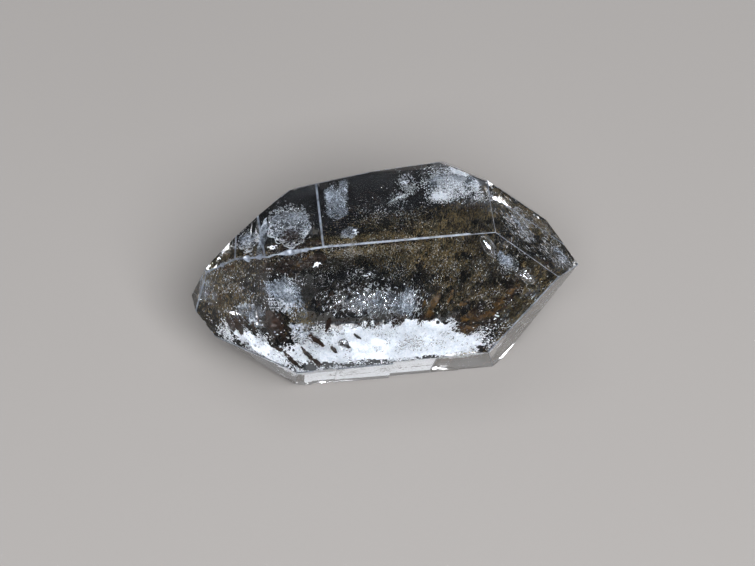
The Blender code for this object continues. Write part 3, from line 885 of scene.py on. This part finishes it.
# %% Pale films of gas
PALE_FILMS = (
    (330, 194, 1.0, 1.4, 1.0, 85, 10, 0.7, 0.35, 0.06, 0.05),  # the pale band on the top face
    (342, 195, 1.2, 2.6, 0.9, 86, 10, 0.75, 0.4, 0.06, 0.05),
    (337, 203, 1.5, 2.4, 1.4, 86, 15, 1.1, 0.6, 0.072, 0.05),
    (349, 233, 0.9, 1.5, 1.2, 4, 10, 0.6, 0.3, 0.06, 0.05),
    (290, 300, 1.2, 2.8, 1.8, -60, 20, 1.0, 0.4, 0.072),  # haze round the milky patches
    (283, 290, 0.8, 2.2, 1.6, -40, 20, 0.9, 0.4, 0.072),
    (408, 302, 0.9, 1.9, 1.2, 80, 20, 1.1, 0.4, 0.072),
    (375, 302, 0.9, 4.0, 1.6, 3, 20, 0.8, 0.3, 0.072),
    (452, 184, 0.8, 3.2, 2.2, 5, 20, 1.0, 0.4, 0.072),
    (464, 176, 1.2, 2.4, 1.2, -25, 20, 1.0, 0.4, 0.072),
    (523, 228, 0.6, 2.6, 1.0, -50, 20, 0.9, 0.3, 0.072),  # the right end
    (508, 262, 0.8, 1.6, 1.0, -45, 20, 1.0, 0.4, 0.072),
    (247, 240, 0.5, 1.3, 1.2, 0, 10, 1.0, 0.4, 0.06),  # the left end and shoulder
    (264, 232, 0.35, 2.6, 0.5, 85, 10, 1.2, 0.5, 0.06),
    (203, 288, 0.6, 1.4, 1.0, 80, 10, 1.1, 0.5, 0.06),
    (250, 312, 0.8, 2.6, 1.6, 10, 20, 0.7, 0.3, 0.072),
    (290, 224, 0.8, 2.3, 2.0, 0, 10, 1.1, 0.5, 0.072),
    (560, 255, 0.5, 1.6, 0.8, -45, 10, 1.0, 0.4, 0.06),
)
sheet_piece("pale_gas_films", PALE_FILMS, thin_gas, GAS_FILM)

# %% [markdown]
# Dust, fibres, specks and bubbles lie in clouds, on what were once the crystal's growing faces. Scattering
# them evenly would look like paint, so each cloud thins out from its middle as a bell curve does, a noise
# in space clumps it, and a grain that would come out of the crystal is left out.
#
# Each row of a table is one cloud: the pixel that its middle lies behind; its reach each way, in pixels;
# its nearest and farthest depth, in mm; how many grains it has; their size in mm, and how many times as
# long as wide they are; the angle at which they lie in the picture, or None for any; how far the cloud
# itself is turned, in degrees; and how clumped it is: a higher number keeps fewer, denser clumps.

# %% Clouds of grains
CLUMP_SIZE = 0.8 * MM
CLUMP_NOISE = (0.8, 2.1, 4)
SPREAD = 0.5
TRIES = 6
SMALLEST, LARGEST = 0.45, 1.3
FLATNESS = 0.45
LIE_SCATTER = 12  # degrees

Cloud = namedtuple("Cloud", "x y wide high near far count grain stretch lie turn clump")


def cloud_places(cloud):
    """Points of one cloud, each with the direction of the bent ray that sees it."""
    made = 0
    angle = math.radians(cloud.turn)
    for _ in range(cloud.count * TRIES):
        if made == cloud.count:
            return
        u = cloud.wide * dice.gauss(0, SPREAD)
        v = cloud.high * dice.gauss(0, SPREAD)
        x = cloud.x + u * math.cos(angle) + v * math.sin(angle)
        y = cloud.y - u * math.sin(angle) + v * math.cos(angle)
        try:
            place, way = seen_ray(x, y)
        except ValueError:
            continue
        point = place + way * dice.uniform(cloud.near, cloud.far) * MM
        if noise.fractal(point / CLUMP_SIZE, *CLUMP_NOISE) < cloud.clump or depth_of(point) < SKIN_MARGIN:
            continue
        made += 1
        yield point, way


def cloud_matrices(clouds):
    """A matrix for every grain of some clouds."""
    matrices = []
    for cloud in (Cloud(*row) for row in clouds):
        for point, way in cloud_places(cloud):
            size = cloud.grain * dice.uniform(SMALLEST, LARGEST) * MM
            if cloud.lie is None:
                turned = random_turn()
            else:
                turned = picture_frame(way, cloud.lie + dice.gauss(0, LIE_SCATTER)).to_4x4()
                turned = turned @ Matrix.Rotation(dice.uniform(0, math.tau), 4, "X")
            scale = Matrix.Diagonal((size * cloud.stretch, size, size * FLATNESS, 1.0))
            matrices.append(Matrix.Translation(point) @ turned @ scale)
    return matrices


GRAIN = grain_shape()

# %% [markdown]
# Petroleum dust is droplets and dried specks, too small for the eye to tell apart. The real ones are a
# few thousandths of a millimetre across, and these are about ten times as coarse, so that they show.
# Golden and olive dust has the colours of the films that it lies beside, so the olive dust carries their
# painted shade too.

# %% Golden and olive dust
GOLDEN_DUST = (
    (228, 292, 26, 40, 0.5, 2.2, 2600, 0.034, 2.5, 82, 0, 0.0),  # the left end
    (368, 251, 110, 6, 0.6, 2.2, 2600, 0.026, 1.5, None, 4, 0.0),  # under the long edge
    (440, 256, 60, 16, 0.6, 2.6, 2400, 0.028, 3.0, 78, 5, 0.05),
    (510, 296, 44, 18, 2.1, 3.4, 1900, 0.032, 3.0, 42, 38, 0.0),  # towards the right tip
    (525, 280, 40, 14, 0.6, 1.4, 900, 0.028, 3.0, 42, 38, 0.15),
    (538, 232, 46, 13, 0.3, 1.6, 2600, 0.026, 4.5, -42, -42, 0.0),  # the right end's upper and lower faces
    (530, 316, 46, 7, 0.15, 0.9, 2200, 0.028, 6.0, 46, 46, -0.1),
    (405, 342, 84, 12, 0.14, 0.3, 500, 0.020, 2.0, 30, 4, 0.1),  # the white zone
    (390, 222, 60, 12, 1.0, 3.5, 1200, 0.026, 1.5, None, 4, 0.05),  # the top face
    (465, 217, 32, 13, 0.8, 3.2, 2000, 0.028, 3.5, 80, 4, 0.0),
    (465, 285, 36, 34, 0.6, 2.2, 1700, 0.028, 3.0, 74, 0, 0.1),  # the front face
    (300, 316, 14, 20, 0.8, 2.2, 700, 0.030, 2.5, 70, 0, 0.0),
    (456, 358, 26, 5, 0.2, 0.8, 300, 0.026, 2.5, 5, 8, 0.0),
)
OLIVE_DUST_WITH_PAINTED_SHADE = (
    (345, 262, 80, 9, 0.8, 3.6, 2300, 0.032, 1.5, None, 5, 0.05),  # under the long edge
    (425, 270, 60, 20, 1.0, 3.6, 3000, 0.032, 2.0, 80, 5, 0.05),
    (475, 268, 36, 32, 0.8, 2.6, 2900, 0.034, 3.0, 78, 0, 0.05),
    (520, 278, 36, 18, 2.0, 3.4, 2300, 0.036, 2.0, 35, 30, 0.0),  # towards the right tip
    (525, 268, 30, 14, 0.5, 1.5, 1000, 0.032, 2.0, 35, 30, 0.1),
    (240, 275, 28, 22, 0.8, 2.4, 1800, 0.034, 2.5, 80, 0, 0.05),  # the left end
    (545, 248, 30, 12, 0.3, 1.6, 1500, 0.032, 5.0, -42, -42, 0.0),
    (452, 300, 26, 18, 2.0, 3.4, 2200, 0.040, 2.0, 60, 0, -0.1),  # round the tongue
    (440, 296, 16, 14, 0.8, 1.6, 500, 0.032, 2.0, 60, 0, 0.1),
    (470, 222, 30, 16, 1.0, 3.0, 1800, 0.034, 3.0, 80, 0, 0.0),  # the top face
    (340, 298, 50, 20, 1.0, 3.0, 1200, 0.034, 2.0, 70, 0, 0.1),  # behind the bubbles
    (534, 312, 46, 6, 0.15, 0.8, 1400, 0.028, 6.0, 46, 46, 0.0),
)
joined("golden_petroleum_dust", GRAIN, cloud_matrices(GOLDEN_DUST), petroleum_grains)
joined("olive_petroleum_dust", GRAIN, cloud_matrices(OLIVE_DUST_WITH_PAINTED_SHADE), olive_grains_with_painted_shade)

# %% [markdown]
# Bitumen dust is black. It peppers the white zone, frays its upper edge and darkens the brown cluster.

# %% Bitumen dust
BITUMEN_DUST = (
    (485, 316, 28, 14, 0.8, 1.5, 160, 0.055, 1.6, 30, 30, 0.0),  # the brown cluster and the right tip
    (520, 282, 28, 14, 0.8, 1.8, 320, 0.055, 1.6, 35, 35, 0.0),
    (405, 340, 84, 13, 0.14, 0.3, 420, 0.022, 1.5, None, 4, 0.0),  # the white zone, and its frayed top
    (405, 321, 74, 5, 0.14, 0.5, 700, 0.036, 2.0, 80, 4, 0.1),
    (470, 326, 16, 9, 0.15, 0.6, 300, 0.045, 2.0, 30, 20, 0.0),
    (330, 350, 36, 16, 0.15, 1.4, 260, 0.028, 2.5, -40, 0, 0.0),
    (365, 303, 42, 14, 0.8, 2.0, 500, 0.055, 1.8, 65, 0, 0.0),  # behind the bubbles
    (290, 262, 26, 10, 0.8, 2.0, 300, 0.055, 2.5, 35, 15, 0.0),
    (240, 326, 16, 9, 0.3, 0.9, 240, 0.050, 2.5, -65, 0, 0.0),  # left of the white zone
    (276, 330, 9, 14, 0.4, 1.2, 240, 0.050, 2.5, -65, 0, 0.0),
    (452, 180, 26, 16, 0.3, 1.0, 260, 0.030, 1.5, None, 0, 0.0),  # in the milky patch
    (470, 205, 26, 5, 0.3, 1.0, 300, 0.035, 1.5, None, 0, 0.0),
    (262, 346, 36, 8, 0.15, 0.7, 260, 0.026, 2.0, -30, -28, 0.0),
    (380, 208, 56, 26, 1.5, 3.5, 1200, 0.030, 1.5, None, 0, 0.0),  # the top face
    (292, 236, 12, 7, 0.15, 0.4, 260, 0.045, 1.5, None, 0, -0.2),  # in the shaggy disc
    (375, 370, 70, 4, 0.14, 0.6, 500, 0.026, 3.0, 5, 4, 0.05),  # the strip along the lower front
)
joined("bitumen_dust", GRAIN, cloud_matrices(BITUMEN_DUST), bitumen)

# %% [markdown]
# The white specks are the smallest gas inclusions. Their sparkle is painted: they get the bright finish of
# the gas films, a painted glint.

# %% White specks
# Painted glints: white grains that stand in for the sparkle of small gas inclusions.
GAS_SPECKS_WITH_PAINTED_GLINT = (
    (368, 251, 110, 6, 0.3, 1.5, 900, 0.017, 1.5, None, 4, 0.05),  # sparkle on the front face
    (390, 270, 110, 22, 0.4, 1.8, 1300, 0.017, 1.5, None, 4, 0.1),
    (470, 275, 60, 36, 0.4, 1.6, 500, 0.018, 2.5, 70, 0, 0.15),
    (410, 180, 14, 12, 0.5, 1.2, 260, 0.024, 1.5, None, 0, 0.0),  # flecks on the top face
    (398, 198, 22, 5, 0.5, 1.2, 200, 0.024, 1.5, None, 28, 0.0),
    (365, 303, 42, 13, 0.9, 1.8, 800, 0.028, 2.5, 60, 0, 0.1),  # round the bubbles
    (408, 304, 14, 14, 0.5, 1.6, 500, 0.026, 2.5, 80, 0, 0.0),
    (432, 305, 20, 12, 0.5, 1.6, 100, 0.024, 2.5, 60, 0, 0.1),
    (505, 300, 44, 18, 0.3, 1.4, 260, 0.022, 2.0, 40, 38, 0.1),
    (247, 240, 12, 11, 0.3, 0.9, 360, 0.022, 1.5, None, 0, 0.0),  # the discs
    (289, 222, 24, 16, 0.3, 0.7, 500, 0.018, 2.5, None, 0, -0.1),
    (232, 290, 26, 36, 0.4, 1.4, 800, 0.020, 2.5, 80, 0, 0.05),  # the left end
    (285, 298, 20, 22, 0.4, 1.4, 700, 0.024, 2.0, -60, 0, 0.0),
    (535, 235, 46, 12, 0.2, 1.0, 1300, 0.019, 4.5, -42, -42, 0.05),  # the right end
    (520, 226, 12, 12, 0.3, 1.2, 420, 0.022, 2.0, -60, -50, 0.0),
    (507, 262, 10, 10, 0.4, 1.2, 260, 0.022, 1.5, None, 0, 0.0),
    (530, 316, 46, 7, 0.15, 0.6, 600, 0.020, 6.0, 46, 46, 0.0),
    (476, 196, 16, 9, 0.4, 1.8, 400, 0.024, 1.5, None, 0, 0.0),  # the top face
    (392, 215, 50, 16, 0.5, 2.0, 420, 0.018, 1.5, None, 0, 0.0),
    (338, 196, 12, 16, 0.8, 2.0, 160, 0.020, 1.5, 85, 0, 0.0),
    (560, 255, 12, 9, 0.2, 0.7, 300, 0.022, 2.0, -42, -42, 0.0),
)
joined("gas_specks_with_painted_glint", GRAIN, cloud_matrices(GAS_SPECKS_WITH_PAINTED_GLINT), gas_with_painted_glint)

# %% [markdown]
# The white veils are sheets of pits so dense that they hide what is behind; in the white zone and the milky
# patch their white is partly painted reflection. Flat grains that lie along the veil, in their thousands,
# make it so.

# %% Grains of the white veils
# Partly painted reflection: white grains where the crystal mirrors light.
VEIL_GRAINS_WITH_PAINTED_REFLECTION = (
    (400, 350, 84, 5, 0.3, 0.9, 3600, 0.034, 1.8, 5, 3, -0.2),  # the white zone
    (398, 334, 74, 8, 0.3, 0.8, 6000, 0.034, 1.8, 5, 3, -0.35),
    (458, 340, 26, 11, 0.35, 1.0, 2000, 0.034, 1.8, 5, 3, -0.2),
    (340, 352, 38, 8, 0.3, 0.9, 1900, 0.032, 1.8, 5, 3, -0.2),
    (318, 340, 22, 14, 1.9, 2.8, 1600, 0.034, 1.8, 5, 3, -0.2),
    (385, 357, 74, 5, 0.25, 0.7, 1500, 0.030, 1.8, 5, 3, -0.2),
    (395, 345, 96, 12, 0.25, 0.8, 500, 0.022, 1.8, 5, 3, 0.0),
    (262, 346, 40, 10, 0.25, 0.9, 2300, 0.032, 2.0, -30, -28, -0.05),  # the lower left
    (232, 334, 16, 9, 0.25, 0.9, 500, 0.030, 2.0, -30, -28, -0.05),
    (300, 374, 60, 5, 0.15, 0.6, 700, 0.026, 2.0, 5, 4, 0.0),  # the strip along the lower front
    (410, 366, 50, 4, 0.15, 0.6, 400, 0.024, 2.0, 5, 4, 0.0),
    (452, 182, 26, 16, 0.3, 1.4, 2300, 0.031, 1.5, None, 0, 0.0),  # the milky patch on the top face
    (441, 196, 14, 7, 0.3, 0.9, 700, 0.031, 1.5, None, 0, -0.1),
    (459, 172, 9, 10, 0.3, 0.9, 700, 0.031, 1.5, None, 0, -0.1),
    (476, 188, 5, 9, 0.3, 0.9, 300, 0.031, 1.5, None, 0, -0.1),
)
joined("veil_grains_with_painted_reflection", GRAIN, cloud_matrices(VEIL_GRAINS_WITH_PAINTED_REFLECTION), white_gas_with_painted_reflection)

# %% [markdown]
# Gas bubbles are round or egg-shaped hollows. Light turns round inside their rims, so each shows as a
# dark ring with a bright middle. They could be any clear ball, but only inward faces let light leave the
# quartz and come back to it. Bubbles don't clump, so the last number of their rows is far below any value
# of the noise.

# %% Bubbles
def gas():
    """The wall of a gas bubble in quartz."""
    material, tree = new_material("gas_bubble")
    shader = add_node(
        tree, "ShaderNodeBsdfPrincipled",
        {"Base Color": (1, 1, 1, 1), "Roughness": 0.02, "IOR": QUARTZ_IOR, "Transmission Weight": 1.0},
    )
    add_node(tree, "ShaderNodeOutputMaterial", links={"Surface": shader.outputs["BSDF"]})
    return material


gas_bubble = gas()
BALL = ball_shape(3)
SMALLEST_BUBBLE, LARGEST_BUBBLE = 0.4, 1.4
BUBBLE_FLATNESS = 0.7
BUBBLE_SCATTER = 25  # degrees


def bubble_matrices(clouds):
    """A matrix for every bubble of some clouds."""
    matrices = []
    for cloud in (Cloud(*row) for row in clouds):
        for point, way in cloud_places(cloud):
            size = cloud.grain * dice.uniform(SMALLEST_BUBBLE, LARGEST_BUBBLE) * MM
            turned = picture_frame(way, cloud.lie + dice.gauss(0, BUBBLE_SCATTER)).to_4x4()
            long = size * dice.uniform(1.0, cloud.stretch)
            scale = Matrix.Diagonal((long, size, size * BUBBLE_FLATNESS, 1.0))
            matrices.append(Matrix.Translation(point) @ turned @ scale)
    return matrices


BUBBLES = (
    (365, 303, 40, 13, 0.25, 0.8, 44, 0.13, 1.8, 70, 0, -9.0),  # the row above the white zone
    (452, 317, 6, 4, 0.3, 0.6, 3, 0.24, 1.4, 0, 0, -9.0),  # a few larger ones
    (344, 344, 8, 4, 0.3, 0.6, 3, 0.22, 1.6, 0, 0, -9.0),
    (524, 275, 6, 4, 0.3, 0.6, 4, 0.24, 1.6, -20, 0, -9.0),
    (470, 285, 60, 30, 0.3, 1.0, 40, 0.06, 1.5, 40, 0, -9.0),  # fine ones here and there
    (370, 335, 90, 12, 0.3, 1.0, 26, 0.06, 1.5, 0, 0, -9.0),
    (380, 195, 40, 14, 0.4, 1.2, 18, 0.06, 1.5, 0, 0, -9.0),
    (289, 222, 18, 14, 0.3, 0.6, 16, 0.07, 1.5, 0, 0, -9.0),
    (235, 285, 22, 30, 0.3, 0.8, 22, 0.06, 1.5, 80, 0, -9.0),
)
joined("gas_bubbles", BALL, bubble_matrices(BUBBLES), gas_bubble, inward=True, smooth=True)


def single_bubble(x, y, depth, long, tall, thick, spin):
    """One large hollow behind a pixel: half sizes in mm, and the angle of its long side."""
    place, way = seen_ray(x, y)
    lie = picture_frame(way, spin).to_4x4()
    size = Matrix.Diagonal((long * MM, tall * MM, thick * MM, 1.0))
    return Matrix.Translation(place + way * depth * MM) @ lie @ size


LARGE_BUBBLES = (
    single_bubble(488, 246, 0.50, 0.72, 0.36, 0.26, -58),
    single_bubble(531, 278, 0.40, 0.22, 0.20, 0.16, 0),
    single_bubble(201, 299, 0.40, 0.20, 0.17, 0.15, 30),
    single_bubble(344, 344, 0.45, 0.30, 0.20, 0.16, -15),
    single_bubble(450, 318, 0.45, 0.24, 0.20, 0.16, 0),
)
joined("large_gas_bubbles", ball_shape(4), LARGE_BUBBLES, gas_bubble, inward=True, smooth=True)

# %% [markdown]
# The shaggy disc near the left shoulder is a crack that opened round an inclusion and healed as a mat of
# fibres. A sheet with holes would be too flat for it, so it is made of short curled fibres, laid on a
# disc: in its middle they lie any way, and towards its lower rim they follow the round, which gives the
# shell-like ledges. Smaller mats lie left of it, round the row of bubbles and on the top face. Their silvery
# look is a painted sheen: the curls get the bright finish of the gas films.
#
# Each row gives the pixel of the disc's middle, its radius in pixels, its depth in mm, how many curls it
# has, their size in mm, and whether it has ledges.

# %% The shaggy disc and other curls, with a painted sheen
Mat = namedtuple("Mat", "x y radius depth count size ledges")
CURL_MARGIN = 0.1  # mm
SMALLEST_CURL, LARGEST_CURL = 0.4, 1.3
DEPTH_SCATTER = 0.05  # mm
LEAN_SCATTER = 0.35  # radians
RAGGED_RIM = 0.3
LEDGE_START = 0.72
LEDGE_TOP = -0.1
LEDGE_SCATTER = 14  # degrees
LEDGE_LENGTH = 2.0


def mat_matrices(mat):
    """The curls of one mat."""
    matrices = []
    for _ in range(mat.count):
        out, around = math.sqrt(dice.random()), dice.uniform(0, math.tau)
        ragged = noise.noise(Vector((math.cos(around), math.sin(around), mat.x)))
        reach = mat.radius * (1 + RAGGED_RIM * ragged)
        x = mat.x + reach * out * math.cos(around)
        y = mat.y - reach * out * math.sin(around)
        try:
            place, way = seen_ray(x, y)
        except ValueError:
            continue
        point = place + way * (mat.depth + dice.gauss(0, DEPTH_SCATTER)) * MM
        if depth_of(point) < CURL_MARGIN:
            continue
        if mat.ledges and out > LEDGE_START and math.sin(around) < LEDGE_TOP:
            lie = math.degrees(around) + dice.gauss(0, LEDGE_SCATTER)
            size = mat.size * dice.uniform(SMALLEST_CURL, LARGEST_CURL) * LEDGE_LENGTH * MM
        else:
            lie = dice.uniform(0, 360)
            size = mat.size * dice.uniform(SMALLEST_CURL, LARGEST_CURL) * MM
        frame_axes = picture_frame(way, lie).to_4x4()
        lean = Matrix.Rotation(dice.gauss(0, LEAN_SCATTER), 4, "X")
        matrices.append(Matrix.Translation(point) @ frame_axes @ lean @ Matrix.Scale(size, 4))
    return matrices


MATS = (
    Mat(289, 225, 21, 0.50, 380, 0.085, True),
    Mat(247, 240, 11, 0.45, 90, 0.07, True),
    Mat(365, 303, 34, 0.80, 170, 0.10, False),
    Mat(408, 182, 9, 0.60, 70, 0.07, False),
    Mat(398, 198, 9, 0.60, 50, 0.06, False),
)
CURL = curl_shape(sweep=140, thickness=0.12)
curls = [matrix for mat in MATS for matrix in mat_matrices(mat)]
# The curls' silvery sheen is painted in their bright finish.
joined("curls_with_painted_sheen", CURL, curls, gas_with_painted_glint, smooth=True)

# %% [markdown]
# The stage is plain: one matt board. Its paint is only mid-toned, because the strong key light makes it
# look pale. The crystal lies a hair above it, so that the two surfaces don't flicker into each other.

# %% Floor
FLOOR_SIZE = 4.0
FLOOR_GAP = 0.02 * MM


def pale_floor():
    """A matt, pale board."""
    material, tree = new_material("pale_floor")
    shader = add_node(tree, "ShaderNodeBsdfPrincipled", {"Base Color": linear("#746F69"), "Roughness": 0.9})
    add_node(tree, "ShaderNodeOutputMaterial", links={"Surface": shader.outputs["BSDF"]})
    return material


floor_body = bmesh.new()
bmesh.ops.create_grid(floor_body, x_segments=2, y_segments=2, size=FLOOR_SIZE / 2)
floor_mesh = bpy.data.meshes.new("floor")
floor_body.to_mesh(floor_mesh)
floor_body.free()
floor_mesh.materials.append(pale_floor())
floor = add_object("floor", floor_mesh)
floor.location.z = -FLOOR_GAP
print("the floor lies", round(FLOOR_GAP / MM, 3), "mm under the crystal")

# %% [markdown]
# A see-through crystal shows what its faces mirror and what comes in through its far faces, so the lights
# are few, large and placed by that. The strong key stands high in front and lights what is sealed inside.
# Two low ones, in front and at the left, come in through the sides, and the base throws them up to the
# camera. A faint one low behind shines through the strip along the lower front, and the top one draws the
# edges. A light that the large front or top face mirrored would veil what lies behind that face.

# %% Lights
LIGHT_COLOUR = "#F1F6FF"
ROOM_COLOUR = "#7A7E84"
ROOM_STRENGTH = 0.6


def soft_light(name, azimuth, elevation, distance, width, height, radiance):
    """A rectangular light that faces the crystal. Azimuth 0 is behind it, 90 at its left, 180 in front."""
    side, rise = math.radians(azimuth), math.radians(elevation)
    way = Vector((-math.sin(side) * math.cos(rise), math.cos(side) * math.cos(rise), math.sin(rise)))
    data = bpy.data.lights.new(name, "AREA")
    data.shape = "RECTANGLE"
    data.size, data.size_y = width, height
    data.energy = radiance * width * height * math.pi
    data.color = linear(LIGHT_COLOUR)[:3]
    light = add_object(name, data)
    light.location = CRYSTAL_MIDDLE + way * distance
    light.rotation_mode = "QUATERNION"
    light.rotation_quaternion = way.to_track_quat("Z", "Y")
    light.visible_camera = False
    print(f"{name}: {data.energy:.2f} W")
    return light


soft_light("front_low", 200, 13.5, 0.30, 0.125, 0.085, 5.0)
soft_light("side_low", 122, 7, 0.30, 0.12, 0.05, 3.6)
soft_light("back_low", -2, 6.5, 0.30, 0.10, 0.035, 1.1)
soft_light("key", 187, 47, 0.45, 0.34, 0.20, 34.0)
soft_light("top", 0, 88, 0.45, 0.30, 0.30, 2.6)

world = bpy.data.worlds.new("studio")
bpy.context.scene.world = world
world.use_nodes = True
world.node_tree.nodes["Background"].inputs["Color"].default_value = linear(ROOM_COLOUR)
world.node_tree.nodes["Background"].inputs["Strength"].default_value = ROOM_STRENGTH

# %% [markdown]
# Light that enters the crystal meets many faces and films before it comes out, so Cycles may follow it
# further than usual. Caustics stay on, because they are the sparkle inside. The limit on indirect light
# takes out single overbright dots.

# %% How the light is followed
settings = bpy.context.scene.cycles
settings.max_bounces = 32
settings.transmission_bounces = 32
settings.glossy_bounces = 16
settings.diffuse_bounces = 4
settings.transparent_max_bounces = 64
settings.caustics_reflective = True
settings.caustics_refractive = True
settings.sample_clamp_indirect = 50.0
settings.use_denoising = True
bpy.context.scene.view_settings.view_transform = "Standard"
print("light is followed through up to", settings.max_bounces, "surfaces")
